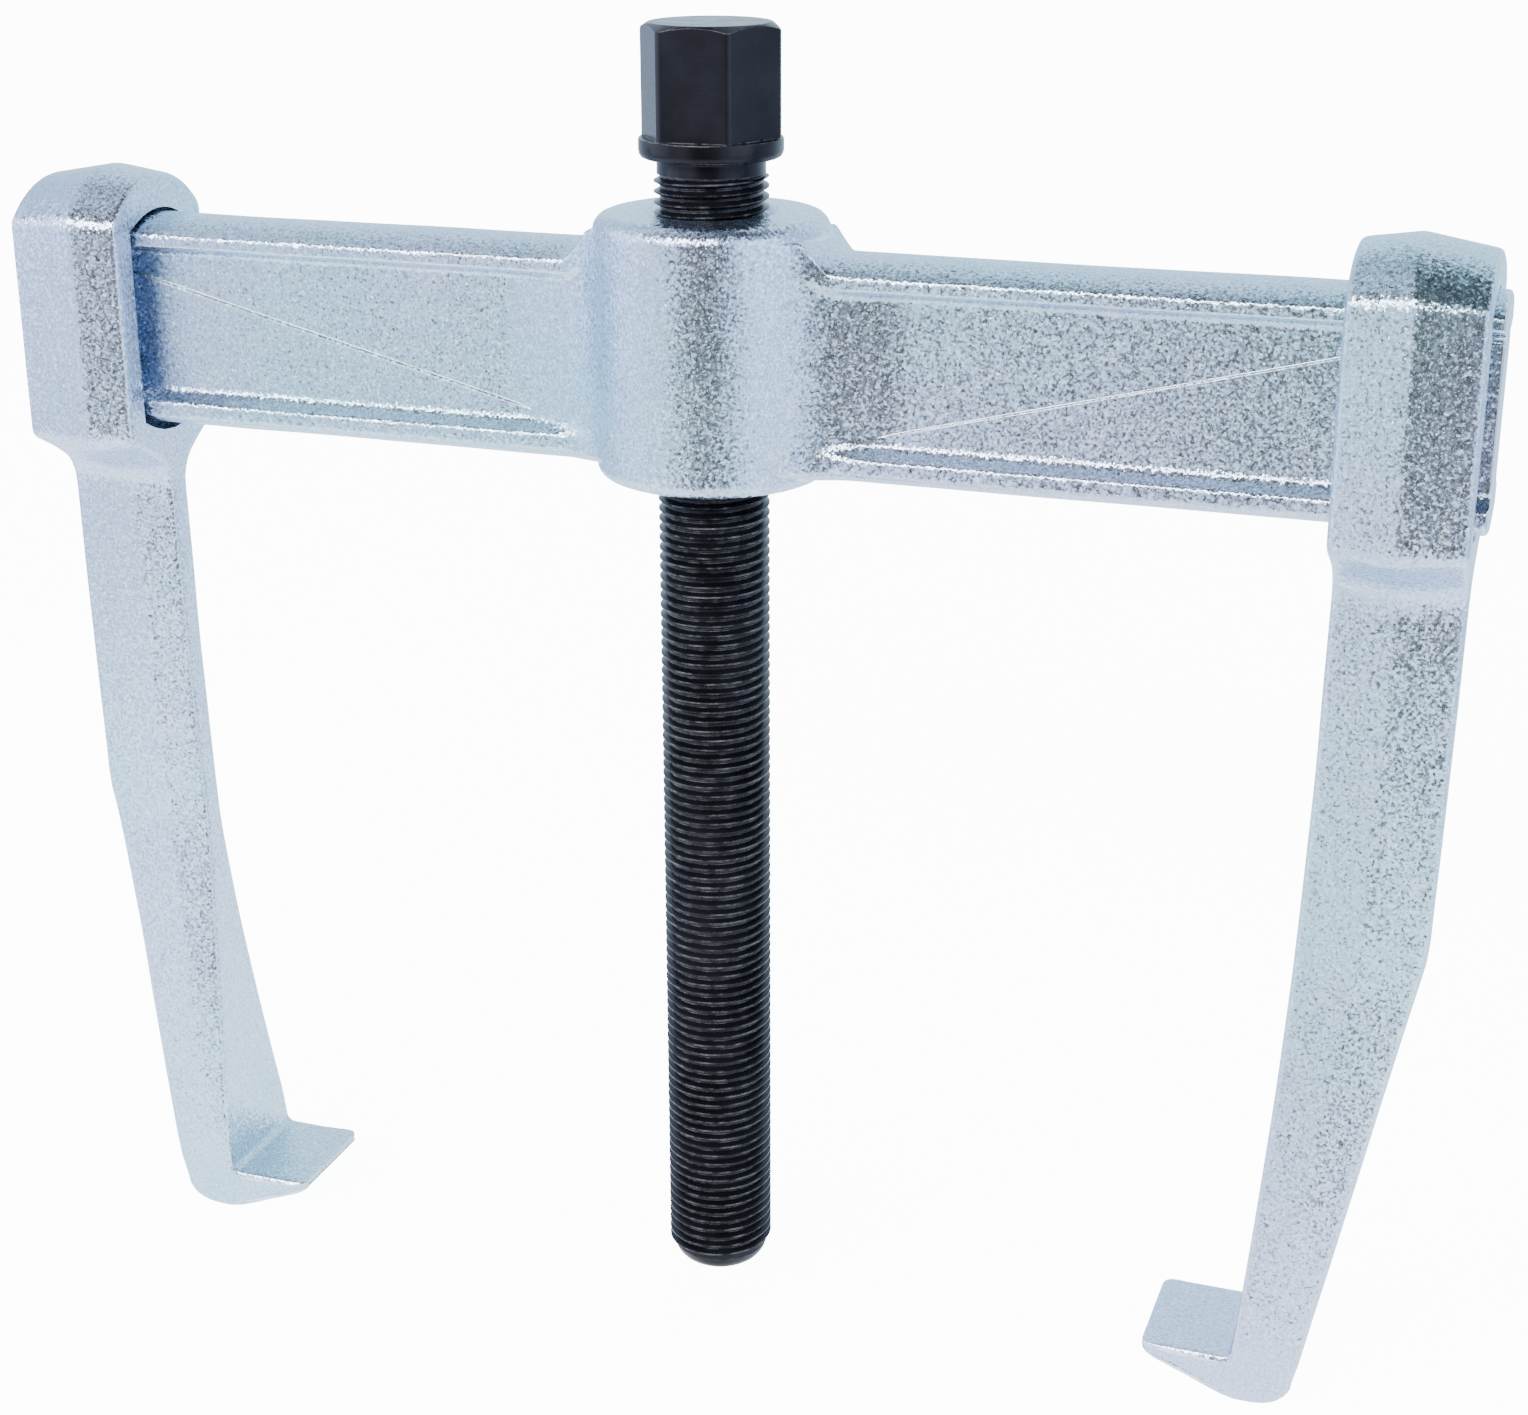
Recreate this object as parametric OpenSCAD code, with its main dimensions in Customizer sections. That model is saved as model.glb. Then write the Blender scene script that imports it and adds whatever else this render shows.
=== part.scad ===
// Two-leg sliding gear puller: a forged cross-beam, two sliding hooked legs,
// a black forcing spindle with a hexagon head and a thrust ball in its tip.
// +Z runs up the spindle, +X along the beam. The two feet stand on Z = 0.

/* [Beam] */
// Length of the cross-beam from end to end
beam_length = 296; // [240:1:380]
// Height of the beam at the middle of its crowned edges
beam_height = 44; // [36:0.5:54]
// Thickness of the beam across its flanges
beam_thickness = 20; // [16:0.5:24]
// Radius of the crowned top and bottom edges of the beam
beam_crown_r = 18; // [15:0.5:40]
// Thickness of the recessed web above the diagonal rib
web_thickness = 12; // [8:0.5:14]
// How far the wedge below the diagonal stands proud of the web
wedge_step = 0.8; // [0.4:0.1:1.5]
// Height of the flat face of the upper flange
upper_lip = 6.5; // [4:0.5:9]
// Height of the flat face of the lower flange
lower_lip = 6.5; // [4:0.5:9]
// Distance from the spindle axis at which the web recess starts
web_start = 36; // [32:1:44]

/* [Boss] */
// Wall of the threaded boss around the spindle
boss_wall = 12; // [8:0.5:16]
// How far the boss stands above the beam
boss_rise = 6.35; // [2:0.05:12]
// How far the boss stands below the beam
boss_drop = 1.15; // [0.5:0.05:8]
// Radius of the rounded rims of the boss
boss_round = 3.5; // [1:0.5:5]
// Width of the countersink ring at each end of the threaded hole
countersink_width = 1.8; // [0.5:0.1:3]

/* [Spindle] */
// Outside diameter of the spindle thread
thread_d = 22; // [18:0.5:24]
// Pitch of the spindle thread
thread_pitch = 2; // [1:0.25:3]
// Height of the spindle end above the feet in the rest position
tip_rise = 4.35; // [3:0.05:40]
// Width across the flats of the hexagon head
hex_af = 24; // [19:1:30]
// Height of the hexagon head above the collar
hex_height = 21; // [14:0.5:30]
// How far the turned collar stands out past the thread
collar_width = 2.8; // [1.5:0.1:5]
// Thickness of the turned collar
collar_height = 3.8; // [2:0.2:6]
// Gap between the collar and the boss in the rest position
collar_gap = 10; // [4:0.5:30]
// Length of the domed end of the spindle
tip_length = 4.6; // [3:0.2:8]

/* [Thrust ball] */
// Diameter of the thrust ball
ball_d = 9; // [6:0.5:12]
// How far the ball stands out of the spindle end
ball_proud = 2.4; // [1:0.2:3.5]

/* [Legs] */
// Distance from the top face of the hooks up to the underside of the beam
reach = 171.5; // [120:0.5:240]
// Depth of a leg, measured along the beam
leg_depth = 25; // [20:0.5:32]
// Wall of the head on each side of the beam window
head_side_wall = 6; // [4:0.2:10]
// Width of the slim arm across its edges
arm_width = 6; // [5:0.5:12]
// Width of the hook
hook_width = 26.6; // [20:0.2:34]
// Length of the hook plate in front of the arm
hook_length = 18.2; // [12:0.2:24]
// Height of the hook top face above the floor
hook_top = 10; // [8:0.5:14]
// Thickness of the hook plate at its tip
hook_tip = 2.2; // [1.5:0.1:4]
// How far the arm leans inwards between the beam and the hook
arm_lean = 7.4; // [3:0.2:12]
// Wall of the head above the beam window, at its ridge
head_wall = 9.5; // [7:0.5:14]
// Radius of the rounded corners of the hook tip
hook_corner_r = 3; // [1:0.5:5]

/* [Fits] */
// Running clearance between spindle and threaded hole, on the radius
thread_clearance = 0.05; // [0.02:0.01:0.1]
// Side clearance between the beam and the leg window
window_side_gap = 0.7; // [0.4:0.1:1.5]
// Clearance above the beam in the leg window
window_top_gap = 0.3; // [0.3:0.1:1]
// Clearance under the beam in the leg window
window_bottom_gap = 1.2; // [0.4:0.1:2]
// Clearance between the thrust ball and its seat, on the radius
ball_clearance = 0.05; // [0.02:0.01:0.1]
// Distance that the beam ends stand out of the leg heads at rest
end_overhang = 2; // [1:0.5:40]

/* [Hidden] */
$fn = 96;
steel = [0.72, 0.78, 0.82];
black = [0.08, 0.08, 0.09];
bright = [0.62, 0.63, 0.65];
over = 1;

// Levels and stations
beam_z0 = hook_top + reach;
beam_z1 = beam_z0 + beam_height;
boss_z0 = beam_z0 - boss_drop;
boss_z1 = beam_z1 + boss_rise;
boss_d = thread_d + 2 * boss_wall;
collar_z0 = boss_z1 + collar_gap;
collar_z1 = collar_z0 + collar_height;
head_z1 = collar_z1 + hex_height;
tip_z = tip_rise;
leg_x1 = beam_length / 2 - end_overhang;
leg_x0 = leg_x1 - leg_depth;
hook_x1 = leg_x0 - arm_lean;
hook_x0 = hook_x1 - hook_length;

// A crowned bar outline, grown sideways, upwards and downwards by its gaps
module bar_outline(side = 0, up = 0, down = 0) {
    w = beam_thickness + 2 * side;
    z0 = beam_z0 - down;
    z1 = beam_z1 + up;
    r = beam_crown_r + side;
    drop = r - sqrt(r * r - w * w / 4);
    translate([-w / 2, z0 + drop]) square([w, z1 - z0 - 2 * drop]);
    intersection() {
        translate([-w / 2, z1 - drop - over]) square([w, drop + over]);
        translate([0, z1 - r]) circle(r = r);
    }
    intersection() {
        translate([-w / 2, z0]) square([w, drop + over]);
        translate([0, z0 + r]) circle(r = r);
    }
}

// Turns a Y-Z outline into a bar that runs from x0 to x1
module along_x(x0, x1) {
    translate([x0, 0, 0]) rotate([90, 0, 90]) linear_extrude(x1 - x0) children();
}

// Turns an X-Z outline into a plate of the given width, centred on Y = 0
module across_y(width) {
    translate([0, width / 2, 0]) rotate([90, 0, 0]) linear_extrude(width) children();
}

// The long recess in one side of one arm, with a sloping lower edge
recess_z0 = beam_z0 + lower_lip;
recess_z1 = beam_z1 - upper_lip;
lower_slope = 0.65;
upper_slope = 0.25;
module recess() {
    depth = (beam_thickness - web_thickness) / 2;
    along_x(web_start, beam_length / 2 + over)
        polygon([
            [-beam_thickness / 2 - over, recess_z0 - lower_slope * over],
            [-web_thickness / 2, recess_z0 + lower_slope * depth],
            [-web_thickness / 2, recess_z1 - upper_slope * depth],
            [-beam_thickness / 2 - over, recess_z1 + upper_slope * over]
        ]);
}

// The wedge under the diagonal of the recess, a little proud of the web
diagonal_end = 11;
diagonal_foot = 2.6;
module wedge() {
    x1 = beam_length / 2 - diagonal_end;
    across_y(web_thickness + 2 * wedge_step)
        polygon([
            [web_start - over, beam_z0],
            [web_start - over, recess_z0 + diagonal_foot],
            [x1, recess_z1],
            [x1 + over, beam_z1],
            [beam_length / 2 + 2 * over, beam_z1],
            [beam_length / 2 + 2 * over, beam_z0]
        ]);
}

module arm_recesses() {
    for (side = [0, 1], face = [0, 1])
        mirror([side, 0, 0]) mirror([0, face, 0])
            difference() {
                recess();
                wedge();
            }
}

// Swelling of the arms where they run into the boss
swell = 3;
swell_x = web_start - 2;
module boss_swell() {
    edge = beam_thickness / 2 - over;
    intersection() {
        translate([0, 0, beam_z0]) linear_extrude(beam_height)
            polygon([
                [-swell_x, -edge],
                [-boss_d / 2, -edge - swell - over],
                [boss_d / 2, -edge - swell - over],
                [swell_x, -edge],
                [swell_x, edge],
                [boss_d / 2, edge + swell + over],
                [-boss_d / 2, edge + swell + over],
                [-swell_x, edge]
            ]);
        along_x(-swell_x - over, swell_x + over) bar_outline(swell, -over, -over);
    }
}

// Rim of the boss: quarter rounds as points from angle a0 to a1
function rim(x, z, r, a0, a1) =
    [for (i = [0:6]) let (a = a0 + (a1 - a0) * i / 6) [x + r * cos(a), z + r * sin(a)]];

module boss() {
    in_r = boss_d / 2 - boss_round;
    rotate_extrude()
        polygon(concat(
            [[0, boss_z0]],
            rim(in_r, boss_z0 + boss_round, boss_round, -90, 0),
            rim(in_r, boss_z1 - boss_round, boss_round, 0, 90),
            [[0, boss_z1]]
        ));
}

// Threaded hole with a countersink at each end
hole_r = thread_d / 2 + thread_clearance;
module threaded_hole() {
    sink = countersink_width;
    sink_r = hole_r + sink;
    translate([0, 0, boss_z0 - over]) cylinder(h = boss_z1 - boss_z0 + 2 * over, r = hole_r);
    translate([0, 0, boss_z1 - sink])
        cylinder(h = sink + over, r1 = hole_r, r2 = sink_r + over);
    translate([0, 0, boss_z0 - over])
        cylinder(h = sink + over, r1 = sink_r + over, r2 = hole_r);
}

module crossbeam() {
    color(steel) difference() {
        union() {
            difference() {
                along_x(-beam_length / 2, beam_length / 2) bar_outline();
                arm_recesses();
            }
            boss_swell();
            boss();
        }
        threaded_hole();
    }
}

// Leg, side view: inner and outer edge of the arm at height z
kink_z = hook_top + 0.513 * reach;
kink_in = 1.6;
kink_x = leg_x1 - kink_in;
foot_in = 19.5;
foot_x = leg_x1 - foot_in;
foot_z = 0.6 * hook_top;
function inner_x(z) = z > beam_z0 ? leg_x0 : leg_x0 - arm_lean * pow((beam_z0 - z) / reach, 2);
function outer_x(z) =
    z > beam_z0 ? leg_x1 :
    z > kink_z ? leg_x1 - kink_in * (beam_z0 - z) / (beam_z0 - kink_z) :
    kink_x - (kink_x - foot_x) * (kink_z - z) / (kink_z - foot_z);

// Leg, front view: half width of the edges at height z
flare_z = hook_top + 0.478 * reach;
function flare(z) =
    z > flare_z ? 0 : min(1, 1.12 * pow((flare_z - z) / (flare_z - hook_top), 1.25));
function arm_half(z) = arm_width / 2 + (hook_width - arm_width) / 2 * flare(z);

// Head: a sloping underside over the arm, straight sides and an arched top
under_drop = 1.5;
shelf_drop = 6.5;
neck_r = 8;
under_z = beam_z0 - under_drop;
neck_z = beam_z0 - shelf_drop - 7;
head_half = beam_thickness / 2 + window_side_gap + head_side_wall;
head_top = beam_z1 + window_top_gap + head_wall;
head_corner = 4;
arch_r = head_half + head_corner;
arch_z = head_top - arch_r;
corner_y = head_half - head_corner;
corner_z = arch_z + sqrt(head_half * head_half - corner_y * corner_y);
corner_a = acos(corner_y / head_half);

// The ridge line is the highest part of the head; both its edges lie lower
inner_fall = 2;
outer_fall = 2.9;
function fall(z) = max(0, (z - corner_z) / (head_top - corner_z));

// Sections of a leg as [height, half width, rise of the mid ridge]
ridge_rise = 2;
leg_sections = concat(
    [[3, hook_width / 2 - 2, 0.2]],
    [for (z = [6:8:neck_z - 2]) [z, arm_half(z), 0.2 + min(0.8, z / 50)]],
    [for (a = [0:15:60]) [neck_z + neck_r * sin(a), arm_width / 2 + neck_r * (1 - cos(a)), 1]],
    [[under_z, head_half, ridge_rise]],
    [for (a = [0:0.5:1]) let (t = a * corner_a)
        [corner_z + head_corner * sin(t), corner_y + head_corner * cos(t), ridge_rise * cos(t)]],
    [for (a = [0.25:0.25:0.9]) let (t = corner_a + (90 - corner_a) * a)
        [arch_z + arch_r * sin(t), arch_r * cos(t), ridge_rise * cos(t)]],
    [[arch_z + arch_r * sin(86), arch_r * cos(86), 0.3]]
);

// The ridge runs nearer to the spindle on the +Y side of the forging
ridge_front = 0.5;
ridge_back = 0.38;
function ring(s) =
    let (
        x0 = inner_x(s[0]),
        x1 = outer_x(s[0]),
        z0 = s[0] - inner_fall * fall(s[0]),
        z1 = s[0] - outer_fall * fall(s[0])
    ) [
        [x0, -s[1], z0],
        [x0 + (x1 - x0) * ridge_front, -s[1] - s[2], s[0]],
        [x1, -s[1], z1],
        [x1, s[1], z1],
        [x0 + (x1 - x0) * ridge_back, s[1] + s[2], s[0]],
        [x0, s[1], z0]
    ];

module forging() {
    n = len(leg_sections);
    pts = [for (s = leg_sections) each ring(s)];
    sides = [for (i = [0:n - 2], k = [0:5]) let (m = (k + 1) % 6)
        each [[6 * i + k, 6 * (i + 1) + m, 6 * i + m], [6 * i + k, 6 * (i + 1) + k, 6 * (i + 1) + m]]];
    caps = [[0, 1, 2, 3, 4, 5], [for (k = [5:-1:0]) 6 * (n - 1) + k]];
    polyhedron(points = pts, faces = concat(sides, caps));
}

// Foot: a flat-topped hook plate over a rounded belly, from the tip to the heel
belly = [[0.27, 0.54], [0.7, 0.22], [0.97, 0.07]];
sole_start = 4;
sole_end = 7;
heel = [[3, 0.1], [1.2, 0.28], [0, 0.6]];
root = 4;
module foot_side() {
    x1 = outer_x(foot_z);
    polygon(concat(
        [[hook_x0, hook_top], [hook_x0, hook_top - hook_tip]],
        [for (b = belly) [hook_x0 + b[0] * hook_length, b[1] * hook_top]],
        [[hook_x1 + sole_start, 0], [hook_x1 + sole_end, 0]],
        [for (h = heel) [x1 - h[0], h[1] * hook_top]],
        [
            [outer_x(hook_top + root), hook_top + root],
            [hook_x1 + 1, hook_top + root],
            [hook_x1, hook_top]
        ]
    ));
}

// Foot, top view: a strip with two rounded corners at its tip
module foot_top() {
    r = hook_corner_r;
    translate([r, 0]) square([hook_length + leg_depth - r, hook_width]);
    translate([0, r]) square([r + over, hook_width - 2 * r]);
    translate([r, r]) circle(r = r);
    translate([r, hook_width - r]) circle(r = r);
}

module foot() {
    intersection() {
        across_y(hook_width) foot_side();
        translate([hook_x0, -hook_width / 2, -over])
            linear_extrude(hook_top + root + 2 * over) foot_top();
    }
}

module leg() {
    color(steel) difference() {
        union() {
            forging();
            foot();
        }
        along_x(leg_x0 - 12, leg_x1 + 12)
            bar_outline(window_side_gap, window_top_gap, window_bottom_gap);
    }
}

module right_leg() {
    leg();
}

module left_leg() {
    rotate([0, 0, 180]) leg();
}

// Spindle, turned about Z, with a hexagon head and a seat for the ball
ball_z = tip_z - ball_proud + ball_d / 2;
collar_d = thread_d + 2 * collar_width;
relief_length = 1.5 * thread_pitch;
relief_depth = 0.3 * thread_pitch;
thread_lead_in = 0.5;
collar_edge = 0.8;
collar_rim = 0.4;
module spindle_body() {
    r = thread_d / 2;
    end_r = ball_d / 2 + 1;
    relief_r = r - relief_depth;
    dome = [for (i = [0:5]) let (a = 90 * i / 5)
        [end_r + (r - thread_lead_in - end_r) * sin(a), tip_z + tip_length * (1 - cos(a))]];
    rotate_extrude()
        polygon(concat(
            [[0, tip_z]],
            dome,
            [
                [r, tip_z + tip_length + thread_lead_in],
                [r, collar_z0 - relief_length - thread_lead_in],
                [relief_r, collar_z0 - relief_length],
                [relief_r, collar_z0],
                [collar_d / 2 - collar_edge, collar_z0],
                [collar_d / 2, collar_z0 + collar_edge],
                [collar_d / 2, collar_z1 - collar_rim],
                [collar_d / 2 - collar_rim, collar_z1],
                [0, collar_z1]
            ]
        ));
}

// Hexagon head, its corners turned down and its top chamfered
hex_turn = 4.3;
corner_turned = 0.5;
module hex_head() {
    corner_d = hex_af / cos(30) - corner_turned;
    face_r = hex_af / 2 - collar_rim;
    fall = (corner_d / 2 - face_r) * tan(30);
    intersection() {
        translate([0, 0, collar_z1 - over]) rotate([0, 0, hex_turn])
            cylinder(h = hex_height + over, d = hex_af / cos(30), $fn = 6);
        rotate_extrude()
            polygon([
                [0, collar_z1 - over],
                [corner_d / 2, collar_z1 - over],
                [corner_d / 2, head_z1 - fall],
                [face_r, head_z1],
                [0, head_z1]
            ]);
    }
}

module ball_seat() {
    r = ball_d / 2 + ball_clearance;
    rotate_extrude()
        polygon(concat(
            [[0, tip_z - over], [r, tip_z - over]],
            [for (i = [0:6]) let (a = 90 * i / 6) [r * cos(a), ball_z + r * sin(a)]]
        ));
}

module spindle() {
    color(black) difference() {
        union() {
            spindle_body();
            hex_head();
        }
        ball_seat();
    }
}

module thrust_ball() {
    color(bright) translate([0, 0, ball_z]) sphere(d = ball_d);
}

crossbeam();
left_leg();
right_leg();
spindle();
thrust_ball();
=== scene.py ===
import math
import bmesh
import bpy
from mathutils import Matrix, Vector, noise


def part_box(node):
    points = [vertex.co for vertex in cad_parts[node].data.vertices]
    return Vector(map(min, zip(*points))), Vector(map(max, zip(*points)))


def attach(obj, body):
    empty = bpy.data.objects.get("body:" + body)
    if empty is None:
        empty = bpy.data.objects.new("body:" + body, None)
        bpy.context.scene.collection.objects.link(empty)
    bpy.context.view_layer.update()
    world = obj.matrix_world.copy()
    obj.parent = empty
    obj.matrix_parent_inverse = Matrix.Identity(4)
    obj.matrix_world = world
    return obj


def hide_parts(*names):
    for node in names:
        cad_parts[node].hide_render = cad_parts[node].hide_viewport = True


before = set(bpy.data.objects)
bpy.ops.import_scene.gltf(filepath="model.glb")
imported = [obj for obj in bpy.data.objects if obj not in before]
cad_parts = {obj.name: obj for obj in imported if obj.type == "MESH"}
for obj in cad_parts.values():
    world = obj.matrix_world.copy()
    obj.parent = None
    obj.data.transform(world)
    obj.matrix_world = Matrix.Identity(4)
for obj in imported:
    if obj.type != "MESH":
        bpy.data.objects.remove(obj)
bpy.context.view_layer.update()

MM = 0.001

# Sizes in millimetres, read from the frame where it has them
beam_low, beam_high = (tuple(c / MM for c in corner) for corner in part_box("crossbeam"))
leg_low, leg_high = (tuple(c / MM for c in corner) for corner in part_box("right_leg"))
screw_low, screw_high = (tuple(c / MM for c in corner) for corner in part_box("spindle"))

# Crossbeam; the boss stands out below and above the arms by BOSS_DROP and BOSS_RISE
BEAM_END = beam_high[0]
BOSS_R = beam_high[1]
BOSS_Z0, BOSS_Z1 = beam_low[2], beam_high[2]
BOSS_DROP = 1.15
BOSS_RISE = 6.35
BEAM_Z0 = BOSS_Z0 + BOSS_DROP
BEAM_Z1 = BOSS_Z1 - BOSS_RISE
BEAM_HALF = 10.0
BEAM_HALF_HEIGHT = 22.0
WEB_HALF = 6.0
WEDGE_STEP = 0.8
CROWN_DROP = 3.03
LIP = 6.4

# Thread, its running clearance in the boss, and the countersink round the bore
THREAD_R = 11.0
PITCH = 2.0
CLEARANCE = 0.05
HOLE_R = THREAD_R + CLEARANCE
SINK_R = 12.8

# Spindle's tip, collar and hexagon; one flat of the hexagon faces HEX_TURN
TIP_Z = screw_low[2]
HEX_TOP = screw_high[2]
COLLAR_R = 13.8
COLLAR_Z0 = 241.85
COLLAR_Z1 = COLLAR_Z0 + 3.8
HEX_AF = 24.0
HEX_CORNER_R = 13.6
HEX_TURN = math.radians(34.3)

# Right leg: its head lies between LEG_X0 and LEG_X1, its hook between HOOK_X0 and HOOK_X1
LEG_X0, LEG_X1 = 121.0, leg_high[0]
HEAD_TOP = leg_high[2]
HOOK_X0 = leg_low[0]
HOOK_X1 = HOOK_X0 + 18.2
HOOK_TOP = 10.0
HOOK_HALF = 13.3
REACH = BEAM_Z0 - HOOK_TOP
BALL_R = 4.5


def smooth_step(x, start, end):
    """0 before start and 1 after end, with an even slope between them."""
    t = min(1.0, max(0.0, (x - start) / (end - start)))
    return t * t * (3 - 2 * t)


def soft_corner(before, corner, after, size, steps=3):
    """Points of a rounded corner of an outline; size is how far it reaches along each side."""
    before, corner, after = Vector(before), Vector(corner), Vector(after)
    start = corner + (before - corner).normalized() * min(size, (before - corner).length * 0.45)
    end = corner + (after - corner).normalized() * min(size, (after - corner).length * 0.45)
    return [start.lerp(corner, t / steps).lerp(corner.lerp(end, t / steps), t / steps)
            for t in range(steps + 1)]


def rounded_line(points, sizes):
    """An open outline with every inner corner rounded; sizes holds one reach per inner corner."""
    line = [Vector(points[0])]
    for before, corner, after, size in zip(points, points[1:], points[2:], sizes):
        line += soft_corner(before, corner, after, size)
    return line + [Vector(points[-1])]


def loft(sections):
    """A closed skin through rings of points that all have the same count."""
    bm = bmesh.new()
    bmesh.ops.create_circle(bm, cap_ends=True, segments=len(sections[0]), radius=1)
    bm.faces.ensure_lookup_table()
    first = face = bm.faces[0]
    for section in sections:
        if section is not sections[0]:
            made = bmesh.ops.extrude_face_region(bm, geom=[face])["geom"]
            if face is not first:
                bmesh.ops.delete(bm, geom=[face], context="FACES_ONLY")
            face = next(g for g in made if isinstance(g, bmesh.types.BMFace))
        for vert, point in zip(face.verts, section):
            vert.co = Vector(point) * MM
    bmesh.ops.recalc_face_normals(bm, faces=bm.faces)
    return bm


def turned(profile, steps):
    """A solid turned about Z from (radius, height) points that end on the axis or where they began."""
    bm = bmesh.new()
    for radius, height in profile:
        bm.verts.new((radius * MM, 0, height * MM))
    bm.verts.ensure_lookup_table()
    edges = [bm.edges.new(pair) for pair in zip(bm.verts[:-1], bm.verts[1:])]
    bmesh.ops.spin(bm, geom=bm.verts[:] + edges, axis=(0, 0, 1), cent=(0, 0, 0),
                   angle=2 * math.pi, steps=steps, use_merge=True)
    bmesh.ops.remove_doubles(bm, verts=bm.verts, dist=1e-7)
    bmesh.ops.recalc_face_normals(bm, faces=bm.faces)
    return bm


CREASE_DEGREES = 32


def mark_creases(bm):
    """Smooth shading, broken only at edges sharper than CREASE_DEGREES."""
    for face in bm.faces:
        face.smooth = True
    for edge in bm.edges:
        edge.smooth = edge.calc_face_angle(0) < math.radians(CREASE_DEGREES)


def add_to(bm, *others):
    """Moves the geometry of the other meshes into bm."""
    for other in others:
        mesh = bpy.data.meshes.new("part")
        other.to_mesh(mesh)
        other.free()
        bm.from_mesh(mesh)
        bpy.data.meshes.remove(mesh)


def turned_half_round(bm):
    """The same mesh after half a turn about the Z axis."""
    bmesh.ops.rotate(bm, verts=bm.verts, cent=(0, 0, 0), matrix=Matrix.Rotation(math.pi, 3, "Z"))
    return bm


def forged(bm, depth, size, keep=0.0):
    """Sinks the skin by up to depth in soft waves of the given size, beyond keep from the Z axis."""
    bm.normal_update()
    moves = [(v, v.normal.copy(), noise.noise(v.co / (size * MM))) for v in bm.verts
             if math.hypot(v.co.x, v.co.y) > keep * MM]
    for vert, normal, wave in moves:
        vert.co -= normal * depth * MM * (0.5 + 0.5 * wave)


SET_DOWN_HEIGHT = 6
FLOOR_GAP = 0.02


def set_down(bm):
    """Eases the foot of the piece down until only FLOOR_GAP is left under it."""
    low = min(v.co.z for v in bm.verts)
    for vert in bm.verts:
        share = 1 - (vert.co.z - low) / (SET_DOWN_HEIGHT * MM - low)
        if share > 0:
            vert.co.z -= (low - FLOOR_GAP * MM) * share ** 2


def make_piece(name, bm, material, body, node):
    """Makes one piece of the puller from bm, on its body and in place of its CAD node."""
    mark_creases(bm)
    mesh = bpy.data.meshes.new(name)
    bm.to_mesh(mesh)
    bm.free()
    mesh.materials.append(material)
    piece = bpy.data.objects.new(name, mesh)
    bpy.context.scene.collection.objects.link(piece)
    weighted = piece.modifiers.new("even faces", "WEIGHTED_NORMAL")
    weighted.keep_sharp = True
    weighted.weight = 80
    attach(piece, body)
    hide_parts(node)


# ---- Crossbeam -------------------------------------------------------------

BLEND_X = 28.0
BLEND_R = 13.65
BLEND_REACH = 10.4
SHOULDER_X = 26.4
SHOULDER_RISE = 6.2
SHOULDER_SLOPE = 0.625
SHOULDER_SOFTNESS = 0.8


def arm_half(x):
    """Half thickness of the beam at x: straight, then a hollow blend into the boss."""
    if x >= BLEND_X:
        return BEAM_HALF
    reach = min(BLEND_X - x, BLEND_REACH)
    return BEAM_HALF + BLEND_R - math.sqrt(BLEND_R ** 2 - reach ** 2)


def shoulder(x):
    """How far the top of the beam has climbed towards the top of the boss at x."""
    near = SHOULDER_X - x
    return min(SHOULDER_RISE, SHOULDER_SLOPE * (near + math.hypot(near, SHOULDER_SOFTNESS)))


def arm_outline(x):
    """Half outline (y, z) of the beam at x, from mid underside to mid top."""
    half = arm_half(x)
    depth = (BEAM_HALF - WEB_HALF) * smooth_step(x, 18, 42)
    step = WEDGE_STEP * smooth_step(x, 34, 44)
    climb = shoulder(x)
    low_edge = BEAM_Z0 + CROWN_DROP - 0.4 * smooth_step(-x, -30, -22)
    top_edge = BEAM_Z1 - CROWN_DROP + climb
    lip_low = BEAM_Z0 + LIP
    lip_high = BEAM_Z1 - 5.8 + 0.4 * climb
    web = half - depth
    ground = lip_low + 0.5 * (BEAM_HALF - WEB_HALF)
    roof = lip_high - 0.35 * (BEAM_HALF - WEB_HALF)
    crease = ground + 1.7 + (roof - ground - 3.0) * min(1, max(0, (x - 35) / 102))
    corners = [
        (half, low_edge),
        (half, lip_low),
        (web + step, ground),
        (web + step, crease),
        (web, crease + 0.2),
        (web, roof),
        (half, lip_high),
        (half, top_edge),
    ]
    crown = CROWN_DROP - 0.45 * climb
    under = [(half * t, low_edge - CROWN_DROP * (1 - t * t)) for t in (0, 0.2, 0.4, 0.6, 0.8)]
    over = [(half * t, top_edge + crown * (1 - t * t)) for t in (0.8, 0.6, 0.4, 0.2, 0)]
    sizes = [1.0, 0.9, 1.4, 0.15, 0.12, 1.0, 0.6, 1.0]
    line = rounded_line([under[-1]] + corners + [over[0]], sizes)
    return [Vector(p) for p in under[:-1]] + line + [Vector(p) for p in over[1:]]


def beam_arm():
    """One arm of the beam towards +X, from inside the boss to its free end."""
    stations = [14 + 0.7 * i for i in range(40)] + [44, 48]
    stations += [54 + 6 * i for i in range(16)] + [BEAM_END - 1.0]
    middle = (BEAM_Z0 + BEAM_Z1) / 2
    sections = []
    for x, inset in [(x, 0) for x in stations] + [(BEAM_END - 0.35, 0.15), (BEAM_END, 0.7)]:
        outline = arm_outline(min(x, BEAM_END))
        shrink = 1 - inset / BEAM_HALF_HEIGHT
        front = [(x, -p[0] + inset, middle + (p[1] - middle) * shrink) for p in outline[1:-1]]
        back = [(x, -y, z) for _, y, z in reversed(front)]
        foot = [(x, 0, middle + (outline[0][1] - middle) * shrink)]
        top = [(x, 0, middle + (outline[-1][1] - middle) * shrink)]
        sections.append(foot + front + top + back)
    return loft(sections)


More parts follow.
